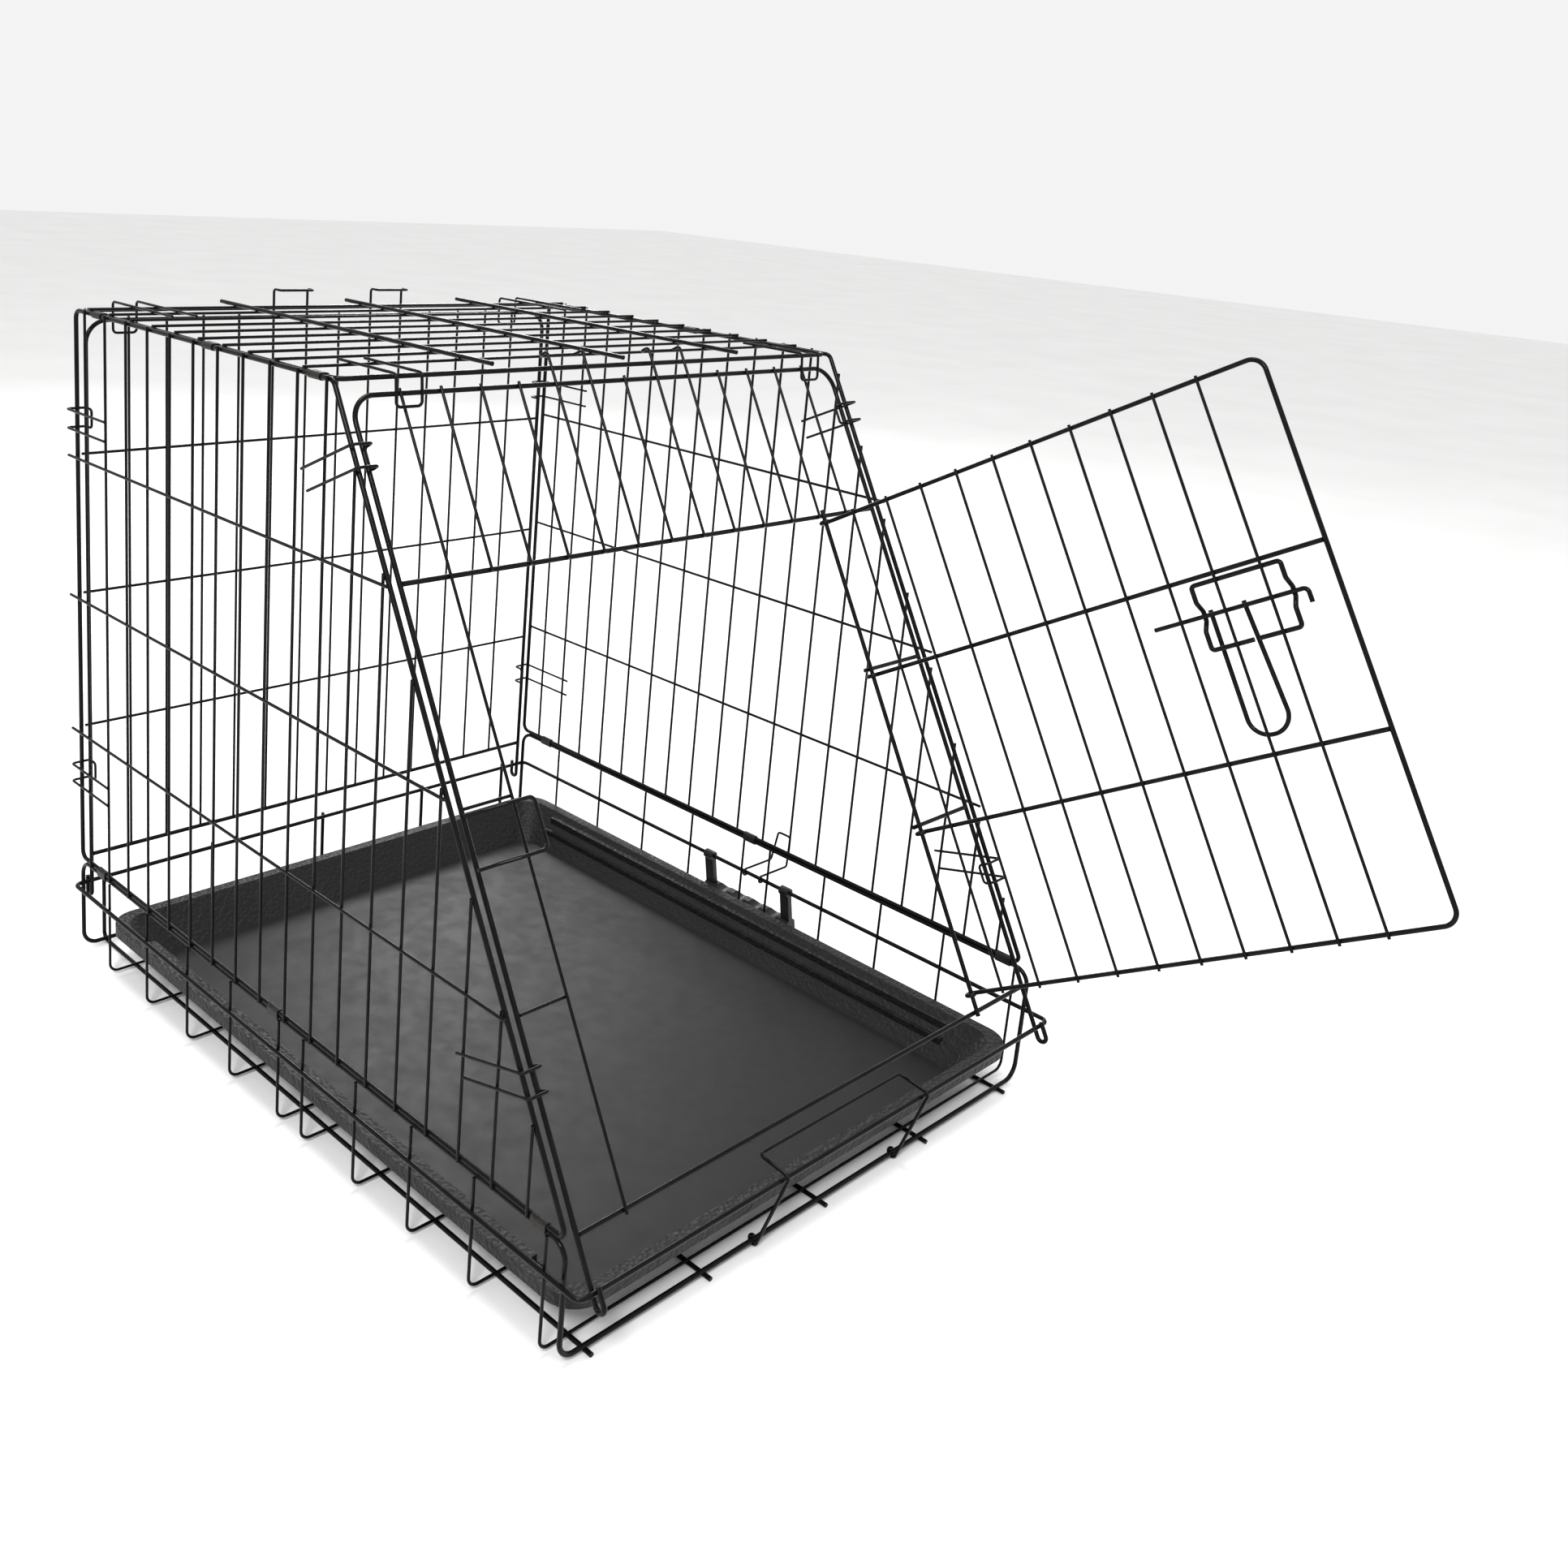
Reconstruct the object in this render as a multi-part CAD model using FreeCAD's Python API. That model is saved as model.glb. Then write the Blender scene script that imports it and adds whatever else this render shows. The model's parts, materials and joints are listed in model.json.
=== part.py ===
import FreeCAD, Part
import os
from math import acos, atan2, cos, degrees, hypot, radians, sin, tan

"""Folding wire dog crate with one sloped end, a side-hung door and a slide-out tray.

Millimetres. +X runs from the upright end to the sloped door end, +Y to the right as one faces
the door, +Z up. Z is 0 on the floor and X and Y are 0 at the centre of the base.
"""

V = FreeCAD.Vector

# wire radii
HEAVY = 2.1  # panel frames, base frame and mid ring
ROD = 2.0  # door frame, top stiffeners, floor runners, latch guide
RAIL = 1.4  # horizontal wires of the side and back panels
MESH = 1.3  # thin upright and cross wires
SPRING = 1.25  # spring hooks and top tabs
LOCK = 1.5  # tray lock, latch keeper
BOLT = 1.9  # latch bolt and its handle

RUN = 0.3  # gap between pieces that move past each other

# base
BACK_X = -372.0
FRONT_X = 372.0
HALF_WIDTH = 290.0
RUNNER_Z = ROD
FLOOR_FRAME_Z = 2 * ROD + HEAVY
CROSS_Z = 2 * ROD + MESH
PANEL_FOOT_Z = 105.0
RIGHT_LIFT = 16.0  # the right side panel and its rim start this much higher than the left
RING_Z = 73.6
RING_HALF_WIDTH = HALF_WIDTH + 2 * HEAVY + 2 * MESH
RING_BACK_X = BACK_X - 4.5
RUNNER_YS = (-264.0, -140.0, 0.0, 140.0, 264.0)
RUNNER_STUB = 7.0
BASE_BEND = 15.0
RING_BEND = 7.0
CROSS_BEND = 9.0
RUNNER_BEND = 8.0
CROSS_WIRES = (65.0, 142.0, 220.0, 297.0, 377.0, 415.0, 492.0, 567.0, 645.0, 727.0)  # from the back end

# side panels
FIRST_UPRIGHT = 25.0
LAST_UPRIGHT = 705.0
LEFT_UPRIGHTS = 18
RIGHT_UPRIGHTS = 19
PANEL_HEIGHT = 552.0
TOP_LENGTH = 429.0
RAIL_STEPS = (0.25, 0.5, 0.75)
POKE = 3.0  # how far a wire end stands past the wire it is welded to
SLOPE = atan2(FRONT_X - BACK_X - TOP_LENGTH, PANEL_HEIGHT)
HOOK_REACH = 9.0  # how far the spring hooks stand out in front of an end panel
HOOK_BEHIND = 3.0  # how far they reach behind it
HOOK_HALF_GAP = 9.0
HOOK_BEND = 3.5
PANEL_BEND = 8.0
SLOPE_FOOT_BEND = 5.0
FRONT_HOOKS = ((109.0, 64.0, 19.0), (573.0, 64.0, 6.0))  # place up the panel, leg, climb of the leg
BACK_HOOKS = ((90.0, 68.0, 0.0), (449.0, 68.0, 0.0))

# hinge clips: width, sheet, and how far each one's middle is from the back end
CLIP_WIDTH = 16.0
CLIP_SHEET = 0.9
BOTTOM_CLIPS = {-1: (45.0, 365.0, 716.0), 1: (45.0, 388.0, 716.0)}
TOP_CLIPS = {-1: (45.0, 245.0, 405.0), 1: (45.0, 238.0, 375.0)}

# end panels
END_HALF_WIDTH = 281.0
END_UPRIGHTS = 13
END_PITCH = 39.4
FRONT_TOP_S = 622.0
HEADER_S = 475.0
BACK_TOP_S = 542.0
CORNER = 22.0
RING_OFFSET = 2 * HEAVY + RUN
RING_S = -38.7
HOOK_SLOT = 10.0
TAB_PAIRS = ((4, 5), (7, 8))
HINGE_JAMB_Y = 202.0
HINGE_JAMB_N = HEAVY + ROD
TAB_RISE = 28.0
FRONT_TAB_LEAN = -7.0
BACK_TAB_LEAN = -9.0

# top panel
TOP_BACK_X = BACK_X + 3.0
TOP_FRONT_X = BACK_X + TOP_LENGTH - 3.0
TOP_HALF_WIDTH = HALF_WIDTH - 2 * HEAVY
TOP_FRAME_Z = PANEL_FOOT_Z + PANEL_HEIGHT
TOP_CROSS_Z = TOP_FRAME_Z + HEAVY + MESH
TOP_RAIL_Z = TOP_CROSS_Z + MESH + ROD
TOP_CROSS_WIRES = 10
TOP_RAIL_YS = (-140.0, 6.0, 152.0)
TOP_HOOK_YS = (-236.0, 236.0)
TOP_HOOK_HALF_WIDTH = 12.0
TOP_HOOK_HANG = 14.0  # how far below the end panel's top wire a hook's looped end hangs
TOP_HOOK_REACH = 12.0
FRONT_TOP_HOOK_START = BACK_X + 372.0
BACK_TOP_HOOK_START = BACK_X + 104.0

# door
DOOR_OPEN = radians(97.0)
DOOR_WIDTH = 424.0
DOOR_FOOT_S = 17.0
DOOR_HEAD_S = 468.0
DOOR_PLANE = 2 * ROD + RUN
DOOR_MESH_PLANE = DOOR_PLANE - ROD - MESH
DOOR_UPRIGHTS = 10
DOOR_FIRST_UPRIGHT = 31.5
DOOR_PITCH = 37.8
RUNG_ABOVE_RAIL = 6.5

# latch, in door co-ordinates
BOLT_S = 286.0
BOLT_PLANE = DOOR_PLANE + ROD + BOLT + RUN + 0.1
BOLT_FROM = 270.0
BOLT_TO = 398.0
TIP_DROP = 12.0
GUIDE_FROM = 312.0
GUIDE_TO = 386.0
GUIDE_TOP_S = 314.0
GUIDE_FOOT_S = 258.0
GUIDE_BULGE = BOLT_PLANE + BOLT + RUN + ROD
HANDLE_LEGS = (318.0, 346.0)
HANDLE_FLARE = 6.0
HANDLE_PLANE = BOLT_PLANE + 2 * BOLT + 0.1
HANDLE_FOOT_S = 182.0
KEEPER_BELOW = 26.0  # how far the keeper reaches below and above the bolt
KEEPER_ABOVE = 14.0
KEEPER_ARCH = HINGE_JAMB_N + BOLT_PLANE + BOLT + 0.4 + LOCK
KEEPER_FLAT = HEAVY + LOCK
KEEPER_PROFILE = ((-283.0, KEEPER_FLAT), (-266.0, KEEPER_FLAT), (-250.0, KEEPER_ARCH), (-226.8, KEEPER_ARCH))

# tray
TRAY_BACK_X = BACK_X + 32.0
TRAY_FRONT_X = FRONT_X + 0.5
TRAY_HALF_WIDTH = 282.0
TRAY_FOOT_Z = FLOOR_FRAME_Z + HEAVY + RUN
TRAY_TOP_Z = 47.0
TRAY_WALL = 2.6
TRAY_CORNER = 28.0
TRAY_SKIRT = 11.0
TRAY_LIP = 8.0
TRAY_SLOPE = 32.0
TRAY_RIBS = ((12.0, 22.0, 42.0), (27.0, 31.5, 30.0))  # inset of each side of the rib, height of its top
TRAY_RIB_END = 62.0

# small moving pieces on the base
LOCK_YS = (-84.0, 98.0)
LOCK_BAR_BACK = 25.0
LOCK_BAR_RISE = 3.5
KNEE_SPACE_X = 2.8  # how far the lock's knee is kept clear of the mid ring as it swings
KNEE_SPACE_Z = 1.6
CARRY_LOOPS = (-46.0, 67.0)
CARRY_WIDTH = 12.0
CARRY_WALL = 2.8
CARRY_STRAP = 38.0
CARRY_DROP = 52.0
CARRY_LEAN = 11.0
GRIP_DEPTH = 13.0
GRIP_HEIGHT = 17.0
GRIP_FINGERS = 4
FINGER_RADIUS = 13.0
FINGER_DEPTH = 3.5
CATCH_LEGS = (8.5, 31.5)
CATCH_ARM = 42.0
CATCH_RISE = 33.0
CATCH_TIP = 5.0
CATCH_TAPER = 3.0
EYE_GAP = 0.2
CURL_TURN = 250.0


def straight(start, end, radius):
    """A straight wire."""
    return Part.makeCylinder(radius, (end - start).Length, start, end - start)


def bend(corner, before, after, size, radius):
    """The bend of a wire at a corner: (where it starts, the solid, where it ends)."""
    way_in = (corner - before).normalize()
    way_out = (after - corner).normalize()
    turn = way_in.getAngle(way_out)
    trim = size * tan(turn / 2)
    start = corner - way_in * trim
    end = corner + way_out * trim
    axis = way_in.cross(way_out).normalize()
    centre = start + axis.cross(way_in) * size
    disc = Part.Face(Part.Wire(Part.makeCircle(radius, start, way_in)))
    return start, disc.revolve(centre, axis, degrees(turn)), end


def one_solid(pieces):
    """Pieces that meet face to face, joined into one solid."""
    whole = pieces[0].multiFuse(pieces[1:]) if len(pieces) > 1 else pieces[0]
    return whole.Solids[0]


def bent_wire(points, radius, sizes, closed=False):
    """One wire through points. sizes is the bends' centreline radius, or a list with one per point."""
    count = len(points)
    if not isinstance(sizes, list):
        sizes = [sizes] * count
    corners = range(count) if closed else range(1, count - 1)
    bends = {}
    for i in corners:
        bends[i] = bend(points[i], points[i - 1], points[(i + 1) % count], sizes[i], radius)
    pieces = [solid for _, solid, _ in bends.values()]
    for i in range(count if closed else count - 1):
        after = (i + 1) % count
        start = bends[i][2] if i in bends else points[i]
        end = bends[after][0] if after in bends else points[after]
        if (end - start).Length > 1e-4:
            pieces.append(straight(start, end, radius))
    return one_solid(pieces)


def curl(start, way, centre, radius):
    """A wire's end wound round centre. way is the direction in which the straight wire ends."""
    disc = Part.Face(Part.Wire(Part.makeCircle(radius, start, way)))
    return disc.revolve(centre, (start - centre).cross(way), CURL_TURN)


def save(node, solids):
    Part.makeCompound(solids).exportStep("parts/" + node + ".step")


def on_front(s, y, n):
    """A point on the sloped end: s up the slope, y across, n outwards."""
    return V(FRONT_X - s * sin(SLOPE) + n * cos(SLOPE), y, PANEL_FOOT_Z + s * cos(SLOPE) + n * sin(SLOPE))


def on_back(s, y, n):
    """A point on the upright end: s upwards, y across, n outwards."""
    return V(BACK_X - n, y, PANEL_FOOT_Z + s)


def on_door(w, s, m):
    """A point on the open door: w from the hinge, s up the slope, m out of its outer face."""
    y = HINGE_JAMB_Y - w * cos(DOOR_OPEN) + m * sin(DOOR_OPEN)
    n = HINGE_JAMB_N + w * sin(DOOR_OPEN) + m * cos(DOOR_OPEN)
    return on_front(s, y, n)


def foot_z(side):
    """The height of a side panel's bottom wire."""
    return PANEL_FOOT_Z + max(side, 0) * RIGHT_LIFT


def rim_z(side):
    """The height of the base's rim, just under the side panel."""
    return foot_z(side) - 2 * HEAVY


def upright_xs(side):
    """Where the upright wires of a side panel stand. The right panel has one more than the left."""
    gaps = (RIGHT_UPRIGHTS if side > 0 else LEFT_UPRIGHTS) - 1
    return [BACK_X + FIRST_UPRIGHT + (LAST_UPRIGHT - FIRST_UPRIGHT) * i / gaps for i in range(gaps + 1)]


def slope_x(z):
    """Where the sloped edge of a side panel stands at a height."""
    return FRONT_X - (z - PANEL_FOOT_Z) * tan(SLOPE)


# ---------------------------------------------------------------- base

RING_FRONT_X = on_front(RING_S, 0, RING_OFFSET).x


def base_main_frame():
    """One closed heavy wire: a rim along each side, bent down and across the floor at each end."""
    points = []
    for x, side in ((FRONT_X, -1), (BACK_X, 1)):
        points.append(V(x, side * HALF_WIDTH, rim_z(side)))
        points.append(V(x, side * HALF_WIDTH, FLOOR_FRAME_Z))
        points.append(V(x, -side * HALF_WIDTH, FLOOR_FRAME_Z))
        points.append(V(x, -side * HALF_WIDTH, rim_z(-side)))
    return [bent_wire(points, HEAVY, BASE_BEND, closed=True)]


def base_mid_ring():
    y = RING_HALF_WIDTH
    points = [V(RING_BACK_X, -y, RING_Z), V(RING_FRONT_X, -y, RING_Z)]
    points += [V(RING_FRONT_X, y, RING_Z), V(RING_BACK_X, y, RING_Z)]
    return [bent_wire(points, HEAVY, RING_BEND, closed=True)]


def base_cross_wires():
    """Thin U wires, welded to the outside of both rims and running under the tray."""
    y = HALF_WIDTH + HEAVY + MESH
    wires = []
    for x in (BACK_X + offset for offset in CROSS_WIRES):
        points = [V(x, -y, rim_z(-1)), V(x, -y, CROSS_Z), V(x, y, CROSS_Z), V(x, y, rim_z(1))]
        wires.append(bent_wire(points, MESH, CROSS_BEND))
    return wires


def base_floor_runners():
    """Wires along the floor, turned up at the back to the mid ring."""
    back = RING_BACK_X - HEAVY - ROD
    wires = []
    for y in RUNNER_YS:
        points = [V(FRONT_X + RUNNER_STUB, y, RUNNER_Z), V(back, y, RUNNER_Z), V(back, y, RING_Z + POKE)]
        wires.append(bent_wire(points, ROD, RUNNER_BEND))
    return wires


# ---------------------------------------------------------------- side panels


def side_frame(side):
    y = side * HALF_WIDTH
    foot = foot_z(side)
    head = PANEL_FOOT_Z + PANEL_HEIGHT
    points = [V(BACK_X, y, foot), V(slope_x(foot), y, foot), V(slope_x(head), y, head), V(BACK_X, y, head)]
    return [bent_wire(points, HEAVY, [PANEL_BEND, SLOPE_FOOT_BEND, PANEL_BEND, PANEL_BEND], closed=True)]


def side_uprights(side):
    """Upright wires on the outside of the frame. The front ones stop on the sloped edge."""
    y = side * (HALF_WIDTH + HEAVY + MESH)
    wires = []
    for x in upright_xs(side):
        height = min(PANEL_HEIGHT, (FRONT_X - x) / tan(SLOPE))
        foot = V(x, y, foot_z(side) - HEAVY)
        wires.append(straight(foot, V(x, y, PANEL_FOOT_Z + height + POKE), MESH))
    return wires


def side_rails(side):
    """Horizontal wires, outermost, standing just past the frame at both ends."""
    y = side * (HALF_WIDTH + HEAVY + 2 * MESH + RAIL)
    wires = []
    foot, head = foot_z(side), PANEL_FOOT_Z + PANEL_HEIGHT
    for step in RAIL_STEPS:
        z = foot + (head - foot) * step
        wires.append(straight(V(BACK_X - 2 * POKE, y, z), V(slope_x(z) + 2 * POKE, y, z), RAIL))
    return wires


def spring_hook(place, s, leg, climb, side):
    """A hairpin welded to a side panel, bent round the outside of an end panel's upright.

    leg is how far it reaches back over the side panel, and climb how far its far end is shifted along s.
    """
    outer = side * (HALF_WIDTH + HEAVY + 2 * MESH + SPRING)
    inner = side * (END_HALF_WIDTH - HEAVY - RUN - SPRING)
    lower, upper = s - HOOK_HALF_GAP, s + HOOK_HALF_GAP
    points = [place(lower + climb, outer, -leg), place(lower, outer, HOOK_REACH)]
    points += [place(lower, inner, HOOK_REACH), place(lower, inner, -HOOK_BEHIND)]
    points += [place(upper, inner, -HOOK_BEHIND), place(upper, inner, HOOK_REACH)]
    points += [place(upper, outer, HOOK_REACH), place(upper + climb, outer, -leg)]
    return bent_wire(points, SPRING, HOOK_BEND)


def side_spring_hooks(side):
    hooks = [spring_hook(on_front, s, leg, climb, side) for s, leg, climb in FRONT_HOOKS]
    hooks += [spring_hook(on_back, s, leg, climb, side) for s, leg, climb in BACK_HOOKS]
    return hooks


# ---------------------------------------------------------------- top panel


def top_frame():
    y = TOP_HALF_WIDTH
    points = [V(TOP_BACK_X, -y, TOP_FRAME_Z), V(TOP_FRONT_X, -y, TOP_FRAME_Z)]
    points += [V(TOP_FRONT_X, y, TOP_FRAME_Z), V(TOP_BACK_X, y, TOP_FRAME_Z)]
    return [bent_wire(points, HEAVY, PANEL_BEND, closed=True)]


def top_cross_wires():
    y = TOP_HALF_WIDTH + POKE
    xs = upright_xs(-1)[:TOP_CROSS_WIRES]
    return [straight(V(x, -y, TOP_CROSS_Z), V(x, y, TOP_CROSS_Z), MESH) for x in xs]


def top_rails():
    back = TOP_BACK_X - POKE
    front = TOP_FRONT_X + POKE
    return [straight(V(back, y, TOP_RAIL_Z), V(front, y, TOP_RAIL_Z), ROD) for y in TOP_RAIL_YS]


def top_spring_hooks():
    """Hairpins on the top wires, their looped ends hanging down outside the end panels."""
    z = TOP_CROSS_Z + MESH + SPRING
    front_foot = on_front(FRONT_TOP_S - TOP_HOOK_HANG, 0, HOOK_REACH)
    front = (FRONT_TOP_HOOK_START, front_foot.x - 2.0, front_foot)
    back_foot = on_back(BACK_TOP_S - TOP_HOOK_HANG, 0, TOP_HOOK_REACH)
    back = (BACK_TOP_HOOK_START, back_foot.x, back_foot)
    hooks = []
    for middle in TOP_HOOK_YS:
        left, right = middle - TOP_HOOK_HALF_WIDTH, middle + TOP_HOOK_HALF_WIDTH
        for start, edge, foot in (front, back):
            points = [V(start, left, z), V(edge, left, z), V(foot.x, left, foot.z)]
            points += [V(foot.x, right, foot.z), V(edge, right, z), V(start, right, z)]
            hooks.append(bent_wire(points, SPRING, 4.0))
    return hooks


def clip(x, y, z):
    """A sheet sleeve crimped round two wires, one above the other, centred between them."""
    inner = HEAVY + 0.1
    outer = inner + CLIP_SHEET

    def oval(radius):
        start = V(x - CLIP_WIDTH / 2, y, z)
        along = V(CLIP_WIDTH, 0, 0)
        low = Part.makeCylinder(radius, CLIP_WIDTH, start - V(0, 0, HEAVY), along)
        high = Part.makeCylinder(radius, CLIP_WIDTH, start + V(0, 0, HEAVY), along)
        web = Part.makeBox(CLIP_WIDTH, 2 * radius, 2 * HEAVY, start - V(0, radius, HEAVY))
        return low.fuse([high, web])

    return oval(outer).cut(oval(inner)).Solids[0]


def bottom_hinge_clips():
    """Sleeves round each rim and the side panel's bottom wire above it."""
    clips = []
    for side, places in BOTTOM_CLIPS.items():
        clips += [clip(BACK_X + x, side * HALF_WIDTH, foot_z(side) - HEAVY) for x in places]
    return clips


def top_hinge_clips():
    """Sleeves round each side panel's top wire and the top panel's frame beside it."""
    clips = []
    for side, places in TOP_CLIPS.items():
        y = side * (HALF_WIDTH - HEAVY)
        for x in places:
            sleeve = clip(BACK_X + x, y, TOP_FRAME_Z)
            sleeve.rotate(V(0, y, TOP_FRAME_Z), V(1, 0, 0), 90)
            clips.append(sleeve)
    return clips


# ---------------------------------------------------------------- end panels


def end_frame(place, top_s, ring_s):
    """Two uprights and the top wire in one piece, with a long hook round the mid ring at each foot."""
    foot_s = ring_s - HOOK_SLOT - RING_OFFSET
    hook_n = 2 * RING_OFFSET
    y = END_HALF_WIDTH
    left = [place(ring_s + 4.0, -y, hook_n), place(foot_s, -y, hook_n), place(foot_s, -y, 0)]
    right = [V(p.x, -p.y, p.z) for p in reversed(left)]
    points = left + [place(top_s, -y, 0), place(top_s, y, 0)] + right
    foot = RING_OFFSET
    return [bent_wire(points, HEAVY, [0, foot, foot, CORNER, CORNER, foot, foot, 0])]


def across(place, s, radius):
    """A wire from upright to upright in the plane of the frame."""
    y = END_HALF_WIDTH - HEAVY
    return straight(place(s, -y, 0), place(s, y, 0), radius)


def end_upright_ys():
    half = (END_UPRIGHTS - 1) / 2
    return [(i - half) * END_PITCH for i in range(END_UPRIGHTS)]


def front_uprights():
    """The short upright wires above the door, from the header to the top wire."""
    n = HEAVY + MESH
    foot = HEADER_S - HEAVY
    head = FRONT_TOP_S + POKE
    return [straight(on_front(foot, y, n), on_front(head, y, n), MESH) for y in end_upright_ys()[1:]]


def front_left_jamb():
    """The upright wire at the free side of the doorway, full height."""
    y = end_upright_ys()[0]
    n = HEAVY + MESH
    return [straight(on_front(-POKE, y, n), on_front(FRONT_TOP_S + POKE, y, n), MESH)]


def front_hinge_jamb():
    n = HINGE_JAMB_N
    head = HEADER_S + HEAVY + POKE
    return [straight(on_front(-POKE, HINGE_JAMB_Y, n), on_front(head, HINGE_JAMB_Y, n), ROD)]


def door_rail_s():
    step = (DOOR_HEAD_S - DOOR_FOOT_S) / 3
    return [DOOR_FOOT_S + step, DOOR_FOOT_S + 2 * step]


def front_rungs():
    """Short wires that tie the jambs to the frame's uprights."""
    outer = END_HALF_WIDTH - HEAVY
    left_jamb = end_upright_ys()[0]
    rungs = []
    for s in door_rail_s():
        right_s = s + RUNG_ABOVE_RAIL
        left_s = s - 2 * RUNG_ABOVE_RAIL
        right_end = on_front(right_s, HINGE_JAMB_Y - 2 * ROD, 0)
        rungs.append(straight(on_front(right_s, outer, 0), right_end, ROD))
        lift = HEAVY - MESH
        left_end = on_front(left_s, left_jamb + 2 * MESH, lift)
        rungs.append(straight(on_front(left_s, -outer, lift), left_end, MESH))
    return rungs


def front_latch_keeper():
    """A hairpin arch that the latch bolt slides under."""
    lower, upper = BOLT_S - KEEPER_BELOW, BOLT_S + KEEPER_ABOVE
    points = [on_front(lower, y, n) for y, n in KEEPER_PROFILE]
    points += [on_front(upper, y, n) for y, n in reversed(KEEPER_PROFILE)]
    return [bent_wire(points, LOCK, 5.0)]


def top_tabs(place, top_s, lean):
    """Pairs of upright wires carried on over the top panel's end wire, joined by a bar."""
    ys = end_upright_ys()
    n = HEAVY + MESH
    foot = top_s + POKE
    head = top_s + TAB_RISE
    tabs = []
    for first, last in TAB_PAIRS:
        points = [place(foot, ys[first], n), place(head, ys[first], n), place(head, ys[first], lean)]
        points += [place(head, ys[last], lean), place(head, ys[last], n), place(foot, ys[last], n)]
        tabs.append(bent_wire(points, MESH, 3.5))
    return tabs


def back_uprights():
    n = HEAVY + MESH
    head = BACK_TOP_S + POKE
    return [straight(on_back(-HEAVY, y, n), on_back(head, y, n), MESH) for y in end_upright_ys()]


def back_rails():
    """Horizontal wires, outermost, reaching across both uprights of the frame."""
    y = END_HALF_WIDTH + HEAVY
    n = HEAVY + 2 * MESH + RAIL
    heights = [PANEL_HEIGHT * step for step in RAIL_STEPS]
    return [straight(on_back(s, -y, n), on_back(s, y, n), RAIL) for s in heights]


# ---------------------------------------------------------------- door


def hinge_curl(s):
    """A wire's end, curled round the hinge jamb: (the solid, where the straight wire joins it)."""
    start = on_door(0, s, DOOR_PLANE)
    way = on_door(-1, s, DOOR_PLANE) - start
    return curl(start, way, on_door(0, s, 0), ROD), start


def door_frame():
    """Top wire, free side and bottom wire in one piece, both ends curled round the hinge jamb."""
    head_curl, head = hinge_curl(DOOR_HEAD_S)
    foot_curl, foot = hinge_curl(DOOR_FOOT_S)
    corners = [on_door(DOOR_WIDTH, DOOR_HEAD_S, DOOR_PLANE), on_door(DOOR_WIDTH, DOOR_FOOT_S, DOOR_PLANE)]
    body = bent_wire([head] + corners + [foot], ROD, 12.0)
    return [one_solid([body, head_curl, foot_curl])]


def door_rails():
    rails = []
    for s in door_rail_s():
        end_curl, start = hinge_curl(s)
        body = straight(start, on_door(DOOR_WIDTH - ROD, s, DOOR_PLANE), ROD)
        rails.append(one_solid([body, end_curl]))
    return rails


def door_uprights():
    wires = []
    for i in range(DOOR_UPRIGHTS):
        w = DOOR_FIRST_UPRIGHT + DOOR_PITCH * i
        foot = on_door(w, DOOR_FOOT_S - POKE, DOOR_MESH_PLANE)
        wires.append(straight(foot, on_door(w, DOOR_HEAD_S + POKE, DOOR_MESH_PLANE), MESH))
    return wires


def door_latch_guide():
    """An open wire rectangle whose sides bulge out round the bolt."""
    middle = (GUIDE_FROM + GUIDE_TO) / 2
    half = (GUIDE_TO - GUIDE_FROM) / 2
    profile = ((2.0, GUIDE_FOOT_S, DOOR_PLANE), (half, GUIDE_FOOT_S, DOOR_PLANE))
    profile += ((half, BOLT_S - 12.0, DOOR_PLANE), (half, BOLT_S - 4.0, GUIDE_BULGE))
    profile += ((half, BOLT_S + 4.0, GUIDE_BULGE), (half, BOLT_S + 12.0, DOOR_PLANE))
    profile += ((half, GUIDE_TOP_S - ROD, DOOR_PLANE),)
    points = [on_door(middle - a, s, m) for a, s, m in profile]
    points += [on_door(middle + a, s, m) for a, s, m in reversed(profile)]
    return [bent_wire(points, ROD, 3.0)]


def latch_bolt():
    """A rod with its free end bent down."""
    points = [on_door(BOLT_FROM, BOLT_S, BOLT_PLANE), on_door(BOLT_TO, BOLT_S, BOLT_PLANE)]
    points.append(on_door(BOLT_TO, BOLT_S - TIP_DROP, BOLT_PLANE))
    return [bent_wire(points, BOLT, 4.0)]


def latch_handle():
    """A long loop hanging from the bolt, flared towards its round foot."""
    first, last = HANDLE_LEGS
    foot_last = last + HANDLE_FLARE
    head = BOLT_S + 2 * BOLT
    points = [on_door(first, head, HANDLE_PLANE), on_door(first, HANDLE_FOOT_S, HANDLE_PLANE)]
    points += [on_door(foot_last, HANDLE_FOOT_S, HANDLE_PLANE), on_door(last, head, HANDLE_PLANE)]
    return [bent_wire(points, BOLT, 0.47 * (foot_last - first))]


# ---------------------------------------------------------------- tray


def rounded_outline(inset, z):
    """A rounded rectangle, inset from the tray's outer edge."""
    back, front = TRAY_BACK_X + inset, TRAY_FRONT_X - inset
    half = TRAY_HALF_WIDTH - inset
    size = TRAY_CORNER - inset / 3
    centres = (V(front - size, half - size, z), V(back + size, half - size, z))
    centres += (V(back + size, size - half, z), V(front - size, size - half, z))
    arcs = []
    for i, centre in enumerate(centres):
        start, middle, end = (centre + V(size * cos(a), size * sin(a), 0) for a in quarter_angles(i))
        arcs.append((start, Part.Arc(start, middle, end).toShape(), end))
    edges = []
    for i, (start, arc, end) in enumerate(arcs):
        edges.append(arc)
        edges.append(Part.makeLine(end, arcs[(i + 1) % len(arcs)][0]))
    return Part.Wire(edges)


def quarter_angles(quarter):
    """The angles at which a quarter circle starts, has its middle and ends."""
    return [radians(90 * quarter + a) for a in (0, 45, 90)]


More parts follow.
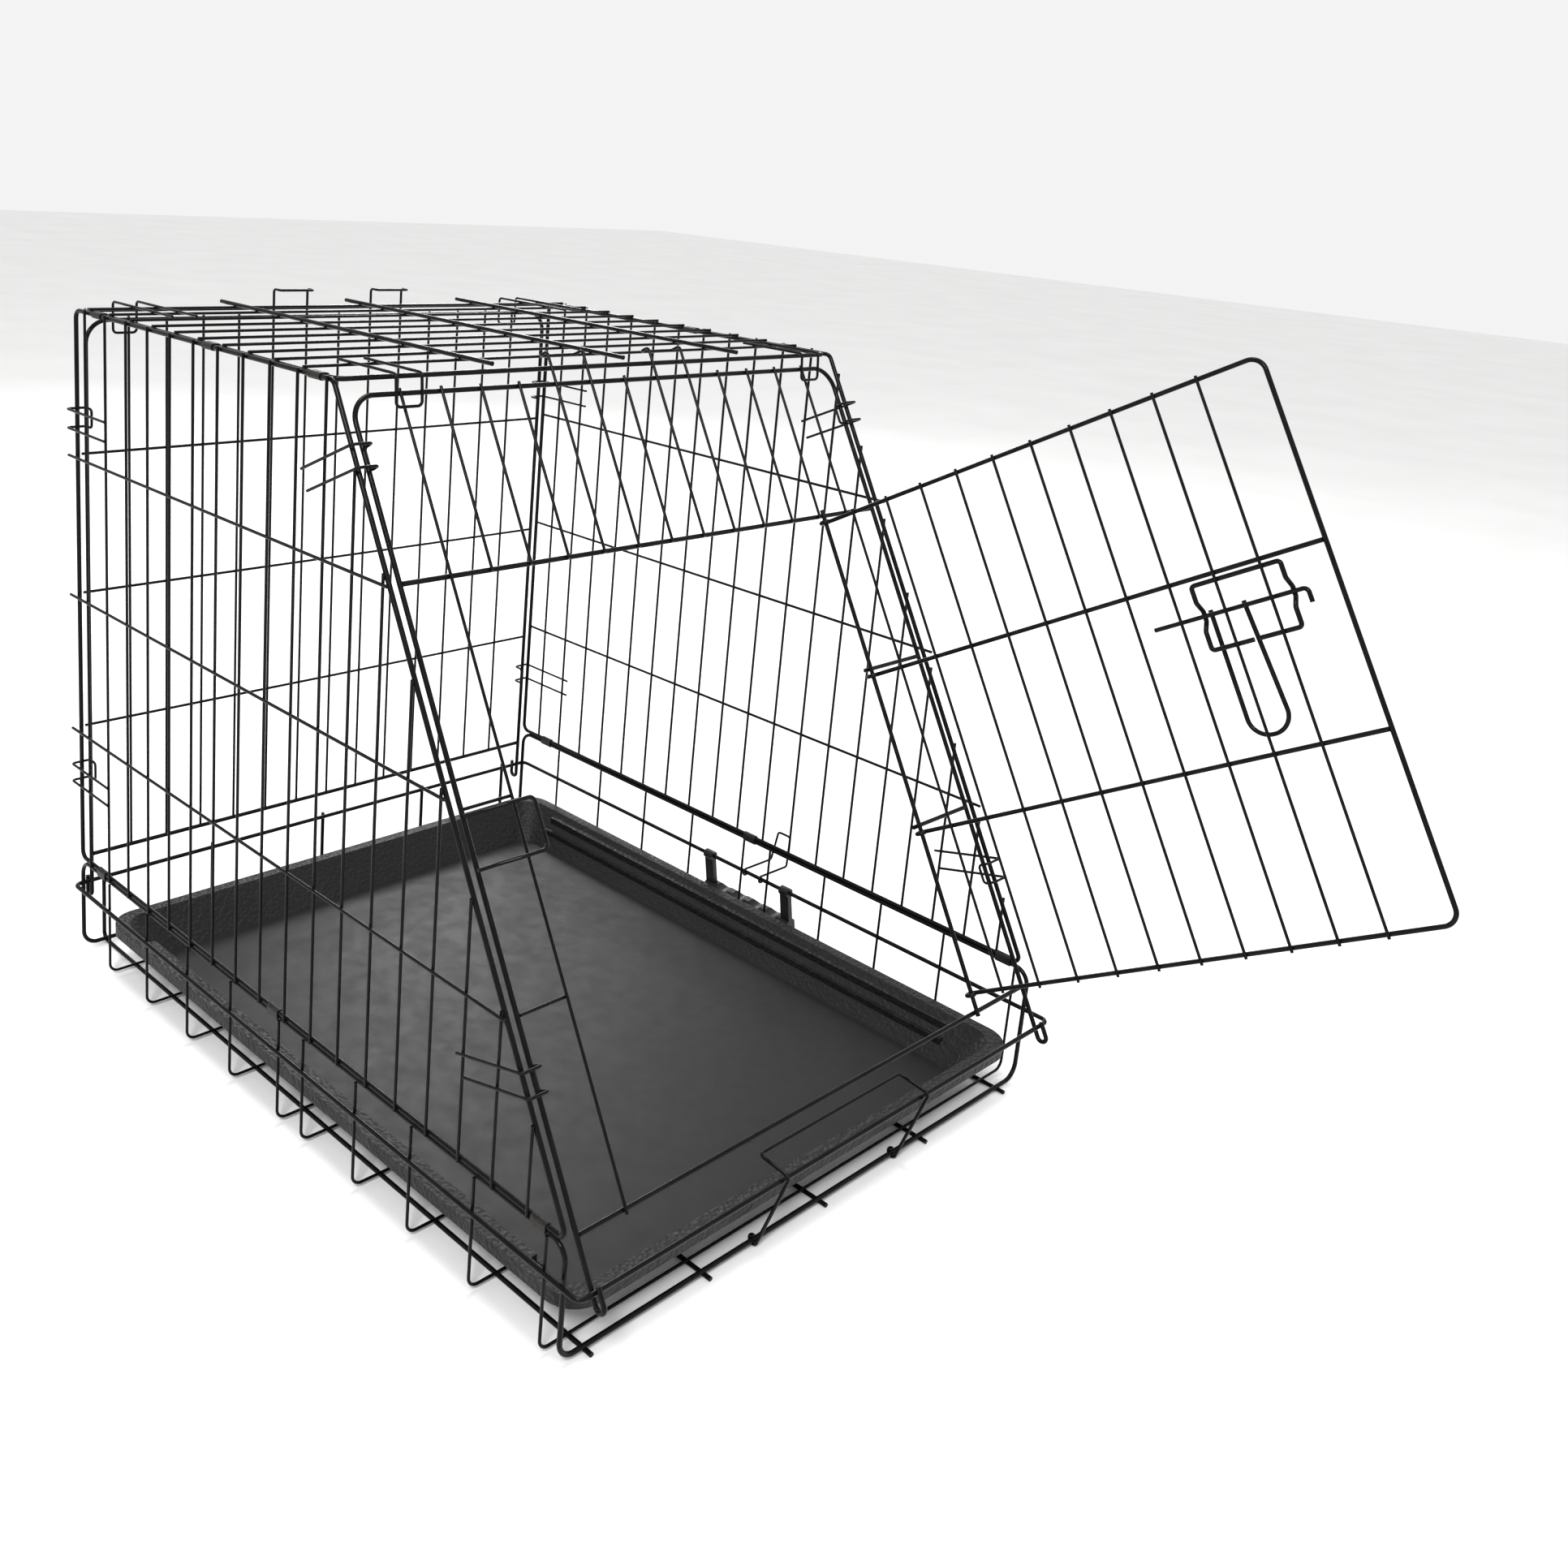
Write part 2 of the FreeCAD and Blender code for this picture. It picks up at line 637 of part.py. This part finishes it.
def pan(outer_inset, top, inner_inset, foot):
    """A solid between two rounded outlines, one above the other."""
    outlines = [rounded_outline(inner_inset, foot), rounded_outline(outer_inset, top)]
    return Part.makeLoft(outlines, True, True)


def tray_ribs(body):
    """Raised ribs moulded along the inside of both long walls, kept within the body."""
    length = TRAY_FRONT_X - TRAY_BACK_X - 2 * TRAY_RIB_END
    ribs = []
    for side in (-1, 1):
        for outer, inner, head in TRAY_RIBS:
            y = min(side * (TRAY_HALF_WIDTH - outer), side * (TRAY_HALF_WIDTH - inner))
            corner = V(TRAY_BACK_X + TRAY_RIB_END, y, TRAY_FOOT_Z)
            ribs.append(Part.makeBox(length, inner - outer, head - TRAY_FOOT_Z, corner).common(body))
    return ribs


def tray():
    """A moulded pan: flat floor, sloped walls with ribs along the sides, a lip and a short skirt."""
    floor_inset = TRAY_LIP + TRAY_SLOPE
    foot, top = TRAY_FOOT_Z, TRAY_TOP_Z
    tub = pan(TRAY_LIP, top, floor_inset, foot)
    hollow = pan(TRAY_LIP + TRAY_WALL, top + 1, floor_inset + TRAY_WALL, foot + TRAY_WALL)
    lip = pan(0, top, 0, top - TRAY_WALL)
    skirt = pan(0, top, 0, top - TRAY_SKIRT).cut(pan(TRAY_WALL, top + 1, TRAY_WALL, top - TRAY_SKIRT - 1))
    shell = tub.fuse([lip, skirt]).cut(hollow)
    return [shell.fuse(tray_ribs(tub)).Solids[0]]


# ---------------------------------------------------------------- small pieces on the base


def tray_lock_wire():
    """A wire bail curled round the front floor wire, legs in front of the tray, bar over the ring."""
    reach = HEAVY + EYE_GAP + LOCK
    knee_x = RING_FRONT_X + HEAVY + RUN + LOCK + KNEE_SPACE_X
    knee_z = RING_Z + HEAVY + RUN + LOCK + KNEE_SPACE_Z
    lean = atan2(knee_x - FRONT_X, knee_z - FLOOR_FRAME_Z)
    lean -= acos(reach / hypot(knee_x - FRONT_X, knee_z - FLOOR_FRAME_Z)) - radians(90)
    legs = []
    curls = []
    for y in LOCK_YS:
        pivot = V(FRONT_X, y, FLOOR_FRAME_Z)
        foot = pivot + V(reach * cos(lean), 0, -reach * sin(lean))
        legs.append([foot, V(knee_x, y, knee_z), V(RING_FRONT_X - LOCK_BAR_BACK, y, knee_z + LOCK_BAR_RISE)])
        curls.append(curl(foot, V(-sin(lean), 0, -cos(lean)), pivot, LOCK))
    bail = bent_wire(legs[0] + legs[1][::-1], LOCK, 4.0)
    return [one_solid([bail] + curls)]


def leaned(shape):
    """A part of the carry handle, swung out from straight below the mid ring to where it rests."""
    shape.rotate(V(0, RING_HALF_WIDTH, RING_Z), V(1, 0, 0), CARRY_LEAN)
    return shape


def carry_strap(x):
    """One strap, straight down from the mid ring's middle line."""
    corner = V(x - CARRY_WIDTH / 2, RING_HALF_WIDTH - CARRY_WALL, RING_Z - CARRY_STRAP)
    return Part.makeBox(CARRY_WIDTH, 2 * CARRY_WALL, CARRY_STRAP, corner)


def carry_handle_loops():
    """Moulded straps round the mid ring that carry the grip."""
    loops = []
    for x in CARRY_LOOPS:
        start = V(x - CARRY_WIDTH / 2, RING_HALF_WIDTH, RING_Z)
        sleeve = Part.makeCylinder(HEAVY + 0.1 + CARRY_WALL, CARRY_WIDTH, start, V(1, 0, 0))
        bore = Part.makeCylinder(HEAVY + 0.1, CARRY_WIDTH + 2, start - V(1, 0, 0), V(1, 0, 0))
        loops.append(leaned(sleeve.fuse(carry_strap(x)).cut(bore).Solids[0]))
    return loops


def carry_handle_grip():
    """A moulded bar with a scalloped upper side for the fingers, slotted for the straps."""
    first, last = CARRY_LOOPS
    start = V(first - CARRY_WIDTH / 2, RING_HALF_WIDTH - GRIP_DEPTH / 2, RING_Z - CARRY_DROP)
    length = last - first + CARRY_WIDTH
    bar = Part.makeBox(length, GRIP_DEPTH, GRIP_HEIGHT, start)
    long_edges = [e for e in bar.Edges if abs(e.Vertexes[0].Point.x - e.Vertexes[-1].Point.x) > 1.0]
    bar = bar.makeFillet(4.0, long_edges)
    span = last - first - CARRY_WIDTH - 2.0
    for i in range(GRIP_FINGERS):
        x = (first + last - span) / 2 + span * (i + 0.5) / GRIP_FINGERS
        centre = V(x, start.y - 1, start.z + GRIP_HEIGHT + FINGER_RADIUS - FINGER_DEPTH)
        bar = bar.cut(Part.makeCylinder(FINGER_RADIUS, GRIP_DEPTH + 2, centre, V(0, 1, 0)))
    for x in CARRY_LOOPS:
        bar = bar.cut(carry_strap(x))
    return [leaned(bar.Solids[0])]


def suitcase_catch():
    """A wire hasp curled round the mid ring, its bent-up end held out over the carry handle."""
    y = RING_HALF_WIDTH
    z = RING_Z + HEAVY + EYE_GAP + SPRING
    left, right = CATCH_LEGS
    elbow, end, head = y + CATCH_ARM, y + CATCH_ARM + CATCH_TIP, z + CATCH_RISE
    points = [V(left, y, z), V(left, elbow, z), V(left + CATCH_TAPER, end, head)]
    points += [V(right - CATCH_TAPER, end, head), V(right, elbow, z), V(right, y, z)]
    pieces = [bent_wire(points, SPRING, 3.0)]
    for x in CATCH_LEGS:
        pieces.append(curl(V(x, y, z), V(0, -1, 0), V(x, y, RING_Z), SPRING))
    return [one_solid(pieces)]


os.makedirs("parts", exist_ok=True)

save("base_main_frame", base_main_frame())
save("base_mid_ring", base_mid_ring())
save("base_cross_wires", base_cross_wires())
save("base_floor_runners", base_floor_runners())
save("bottom_hinge_clips", bottom_hinge_clips())
save("top_hinge_clips", top_hinge_clips())
for name, side in (("left", -1), ("right", 1)):
    save(name + "_panel_frame", side_frame(side))
    save(name + "_panel_uprights", side_uprights(side))
    save(name + "_panel_rails", side_rails(side))
    save(name + "_panel_spring_hooks", side_spring_hooks(side))
save("top_panel_frame", top_frame())
save("top_panel_cross_wires", top_cross_wires())
save("top_panel_rails", top_rails())
save("top_panel_spring_hooks", top_spring_hooks())

save("front_panel_frame", end_frame(on_front, FRONT_TOP_S, RING_S))
save("front_panel_header", [across(on_front, HEADER_S, HEAVY)])
save("front_panel_sill", [across(on_front, 0, HEAVY)])
save("front_panel_uprights", front_uprights())
save("front_panel_left_jamb", front_left_jamb())
save("front_panel_hinge_jamb", front_hinge_jamb())
save("front_panel_rungs", front_rungs())
save("front_panel_latch_keeper", front_latch_keeper())
save("front_panel_top_tabs", top_tabs(on_front, FRONT_TOP_S, FRONT_TAB_LEAN))

save("back_panel_frame", end_frame(on_back, BACK_TOP_S, RING_Z - PANEL_FOOT_Z))
save("back_panel_sill", [across(on_back, 0, HEAVY)])
save("back_panel_uprights", back_uprights())
save("back_panel_rails", back_rails())
save("back_panel_top_tabs", top_tabs(on_back, BACK_TOP_S, BACK_TAB_LEAN))

save("door_frame", door_frame())
save("door_rails", door_rails())
save("door_uprights", door_uprights())
save("door_latch_guide", door_latch_guide())
save("latch_bolt", latch_bolt())
save("latch_handle", latch_handle())

save("tray", tray())
save("tray_lock_wire", tray_lock_wire())
save("carry_handle_loops", carry_handle_loops())
save("carry_handle_grip", carry_handle_grip())
save("suitcase_catch", suitcase_catch())
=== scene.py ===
import json
from math import cos, radians, sin

import bpy
from mathutils import Matrix, Vector

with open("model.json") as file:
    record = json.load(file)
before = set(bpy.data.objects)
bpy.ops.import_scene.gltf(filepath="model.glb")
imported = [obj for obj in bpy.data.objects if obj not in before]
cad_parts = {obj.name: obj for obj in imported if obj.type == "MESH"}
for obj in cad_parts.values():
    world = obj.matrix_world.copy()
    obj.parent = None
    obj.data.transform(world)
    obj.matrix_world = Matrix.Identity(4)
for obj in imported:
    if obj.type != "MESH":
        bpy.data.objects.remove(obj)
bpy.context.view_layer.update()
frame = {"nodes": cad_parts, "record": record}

# camera: place in metres, lens and sensor in millimetres, shift in picture widths
CAMERA_PLACE = Vector((1.0465, -0.9435, 0.8368))
CAMERA_YAW = radians(134.65)
CAMERA_PITCH = radians(-14.03)
CAMERA_ROLL = radians(4.46)
CAMERA_LENS = 36.11
CAMERA_SENSOR = 36.0
CAMERA_SHIFT = (0.085, -0.15)
CAMERA_NEAR_LIMIT = 0.01

# surfaces
SHARP_ANGLE = radians(35)
WIRE_SHINE = 0.1
SHEET_SHINE = 0.2
PLASTIC_SHINE = 0.2
GRAIN_SMOOTHNESS = 0.6
GRAIN_BOTTOM = 0.0125  # just above the tray's floor

# colours, each from its darkest to its lightest patches
WIRE_COLOURS = ((0.002, 0.002, 0.0022), (0.006, 0.006, 0.0065))
SHEET_COLOURS = ((0.003, 0.003, 0.003), (0.022, 0.02, 0.017))
TRAY_COLOURS = ((0.007, 0.007, 0.0072), (0.009, 0.009, 0.0093))
HANDLE_COLOURS = ((0.006, 0.006, 0.006), (0.016, 0.016, 0.0165))
FLOOR_COLOURS = ((0.86, 0.86, 0.855), (0.9, 0.9, 0.895))

# roughness, each from its shiniest to its dullest patches
WIRE_ROUGHNESS = (0.14, 0.28)
SHEET_ROUGHNESS = (0.35, 0.6)
TRAY_ROUGHNESS = (0.42, 0.5)
HANDLE_ROUGHNESS = (0.3, 0.5)

# stage and light: each lamp has its name, place, width and power
FLOOR_HALF_WIDTH = 12.0
FLOOR_ROUGHNESS = 0.85
WORLD_STRENGTH = 0.9
LIT_POINT = (0.0, 0.0, 0.3)
LAMPS = (
    ("key", (1.6, -2.2, 2.6), 0.7, 80.0),
    ("top", (-0.4, 0.3, 3.2), 1.0, 50.0),
    ("rim", (-2.4, 1.8, 1.8), 0.7, 30.0),
)


# ---------------------------------------------------------------- materials


def node_material(name):
    """An empty node material: (material, its node tree, its main shader)."""
    material = bpy.data.materials.new(name)
    material.use_nodes = True
    tree = material.node_tree
    return material, tree, tree.nodes["Principled BSDF"]


def noise(tree, scale, detail=4.0, rough=0.5):
    """A noise texture in the object's own metres."""
    place = tree.nodes.new("ShaderNodeTexCoord")
    texture = tree.nodes.new("ShaderNodeTexNoise")
    texture.inputs["Scale"].default_value = scale
    texture.inputs["Detail"].default_value = detail
    texture.inputs["Roughness"].default_value = rough
    tree.links.new(place.outputs["Object"], texture.inputs["Vector"])
    return texture.outputs["Fac"]


def ramp(tree, value, ends, between=(0.3, 0.7)):
    """Runs from the first colour or grey to the second while the value goes between two limits."""
    node = tree.nodes.new("ShaderNodeValToRGB")
    for element, position, colour in zip(node.color_ramp.elements, between, ends):
        if not isinstance(colour, tuple):
            colour = (colour, colour, colour)
        element.position = position
        element.color = (*colour, 1.0)
    tree.links.new(value, node.inputs["Fac"])
    return node.outputs["Color"]


def bump(tree, height, strength, distance, below=None):
    """Relief on top of the relief below, if there is any."""
    node = tree.nodes.new("ShaderNodeBump")
    node.inputs["Strength"].default_value = strength
    node.inputs["Distance"].default_value = distance
    tree.links.new(height, node.inputs["Height"])
    if below is not None:
        tree.links.new(below, node.inputs["Normal"])
    return node.outputs["Normal"]


def finish_surface(tree, shader, colour, shine, roughness, relief):
    """Puts a colour, a specular level, a roughness and a relief on the shader."""
    tree.links.new(colour, shader.inputs["Base Color"])
    shader.inputs["Specular IOR Level"].default_value = shine
    tree.links.new(roughness, shader.inputs["Roughness"])
    tree.links.new(relief, shader.inputs["Normal"])


def wire_paint():
    """Black enamel on drawn wire: slightly uneven black and gloss, orange peel and low waves."""
    material, tree, shader = node_material("wire_enamel")
    patches = noise(tree, scale=35.0, detail=5.0, rough=0.6)
    colour = ramp(tree, patches, WIRE_COLOURS, between=(0.3, 0.75))
    roughness = ramp(tree, noise(tree, scale=160.0, detail=3.0), WIRE_ROUGHNESS)
    peel = bump(tree, noise(tree, scale=900.0, detail=2.0), strength=0.2, distance=0.0002)
    waves = bump(tree, noise(tree, scale=180.0, detail=3.0), strength=0.2, distance=0.0004, below=peel)
    finish_surface(tree, shader, colour, WIRE_SHINE, roughness, waves)
    return material


def sheet_paint():
    """Black paint on crimped sheet, paler and duller where it is worn, with small dents."""
    material, tree, shader = node_material("clip_enamel")
    wear = noise(tree, scale=220.0, detail=6.0, rough=0.7)
    colour = ramp(tree, wear, SHEET_COLOURS, between=(0.35, 0.7))
    roughness = ramp(tree, wear, SHEET_ROUGHNESS, between=(0.3, 0.8))
    dents = bump(tree, noise(tree, scale=420.0), strength=0.6, distance=0.0006)
    finish_surface(tree, shader, colour, SHEET_SHINE, roughness, dents)
    return material


def grain(tree, scale):
    """Pebbled leather grain, as pressed into sheet plastic."""
    place = tree.nodes.new("ShaderNodeTexCoord")
    cells = tree.nodes.new("ShaderNodeTexVoronoi")
    cells.feature = "SMOOTH_F1"
    cells.inputs["Scale"].default_value = scale
    cells.inputs["Smoothness"].default_value = GRAIN_SMOOTHNESS
    tree.links.new(place.outputs["Object"], cells.inputs["Vector"])
    return cells.outputs["Distance"]


def walls_only(tree, height):
    """Keeps the height on the tray's walls and drops it on its floor, which has no pebbles."""
    place = tree.nodes.new("ShaderNodeTexCoord")
    split = tree.nodes.new("ShaderNodeSeparateXYZ")
    above = tree.nodes.new("ShaderNodeMath")
    above.operation = "GREATER_THAN"
    above.inputs[1].default_value = GRAIN_BOTTOM
    product = tree.nodes.new("ShaderNodeMath")
    product.operation = "MULTIPLY"
    tree.links.new(place.outputs["Object"], split.inputs["Vector"])
    tree.links.new(split.outputs["Z"], above.inputs[0])
    tree.links.new(above.outputs["Value"], product.inputs[0])
    tree.links.new(height, product.inputs[1])
    return product.outputs["Value"]


def tray_plastic():
    """Dull black sheet plastic with pebbled walls and a nearly smooth floor."""
    material, tree, shader = node_material("tray_plastic")
    colour = ramp(tree, noise(tree, scale=14.0, detail=6.0, rough=0.65), TRAY_COLOURS)
    roughness = ramp(tree, noise(tree, scale=60.0), TRAY_ROUGHNESS)
    pebbles = bump(tree, walls_only(tree, grain(tree, scale=260.0)), strength=0.8, distance=0.0012)
    fine = bump(tree, noise(tree, scale=700.0, detail=3.0), strength=0.12, distance=0.0004, below=pebbles)
    finish_surface(tree, shader, colour, PLASTIC_SHINE, roughness, fine)
    return material


def handle_plastic():
    """Moulded black plastic with a fine texture."""
    material, tree, shader = node_material("handle_plastic")
    colour = ramp(tree, noise(tree, scale=60.0, detail=5.0), HANDLE_COLOURS, between=(0.3, 0.75))
    roughness = ramp(tree, noise(tree, scale=200.0, detail=3.0), HANDLE_ROUGHNESS)
    fine = bump(tree, noise(tree, scale=700.0, detail=3.0), strength=0.3, distance=0.0005)
    finish_surface(tree, shader, colour, PLASTIC_SHINE, roughness, fine)
    return material


def floor_material():
    """Pale matt studio paper."""
    material, tree, shader = node_material("floor")
    colour = ramp(tree, noise(tree, scale=3.0, detail=3.0), FLOOR_COLOURS)
    tree.links.new(colour, shader.inputs["Base Color"])
    shader.inputs["Roughness"].default_value = FLOOR_ROUGHNESS
    return material


def give(piece, material):
    """Puts a material on a piece and shades it smooth, except over sharp edges."""
    piece.data.materials.clear()
    piece.data.materials.append(material)
    for polygon in piece.data.polygons:
        polygon.use_smooth = True
    piece.data.set_sharp_from_angle(angle=SHARP_ANGLE)


MATERIALS = {
    "black_wire": wire_paint(),
    "clip_sheet": sheet_paint(),
    "tray_plastic": tray_plastic(),
    "handle_plastic": handle_plastic(),
}
for part in frame["record"]["subparts"]:
    give(frame["nodes"][part["node"]], MATERIALS[part["material_slot"]])


# ---------------------------------------------------------------- stage, light and camera


def make_floor():
    """A flat square under the crate, which belongs to the stage."""
    size = FLOOR_HALF_WIDTH
    mesh = bpy.data.meshes.new("floor")
    corners = [(-size, -size, 0), (size, -size, 0), (size, size, 0), (-size, size, 0)]
    mesh.from_pydata(corners, [], [(0, 1, 2, 3)])
    floor = bpy.data.objects.new("floor", mesh)
    bpy.context.scene.collection.objects.link(floor)
    floor.data.materials.append(floor_material())


def area_light(name, place, size, power):
    """A square lamp, turned to face the crate."""
    data = bpy.data.lights.new(name, "AREA")
    data.shape = "SQUARE"
    data.size = size
    data.energy = power
    light = bpy.data.objects.new(name, data)
    light.location = place
    light.rotation_euler = (Vector(LIT_POINT) - Vector(place)).to_track_quat("-Z", "Y").to_euler()
    bpy.context.scene.collection.objects.link(light)


def make_light():
    """An even white sky and the lamps."""
    world = bpy.data.worlds.new("studio")
    world.use_nodes = True
    background = world.node_tree.nodes["Background"]
    background.inputs["Color"].default_value = (1.0, 1.0, 1.0, 1.0)
    background.inputs["Strength"].default_value = WORLD_STRENGTH
    bpy.context.scene.world = world
    bpy.context.scene.view_settings.view_transform = "Standard"
    for name, place, size, power in LAMPS:
        area_light(name, place, size, power)


def make_camera():
    """A camera turned by its yaw, pitch and roll."""
    data = bpy.data.cameras.new("camera")
    data.sensor_width = CAMERA_SENSOR
    data.lens = CAMERA_LENS
    data.shift_x, data.shift_y = CAMERA_SHIFT
    data.clip_start = CAMERA_NEAR_LIMIT
    camera = bpy.data.objects.new("camera", data)
    forward = Vector((
        cos(CAMERA_YAW) * cos(CAMERA_PITCH), sin(CAMERA_YAW) * cos(CAMERA_PITCH), sin(CAMERA_PITCH),
    ))
    level = forward.cross(Vector((0, 0, 1))).normalized()
    above = level.cross(forward)
    right = cos(CAMERA_ROLL) * level + sin(CAMERA_ROLL) * above
    up = cos(CAMERA_ROLL) * above - sin(CAMERA_ROLL) * level
    turn = Matrix((right, up, -forward)).transposed().to_4x4()
    camera.matrix_world = Matrix.Translation(CAMERA_PLACE) @ turn
    bpy.context.scene.collection.objects.link(camera)
    bpy.context.scene.camera = camera


make_floor()
make_light()
make_camera()
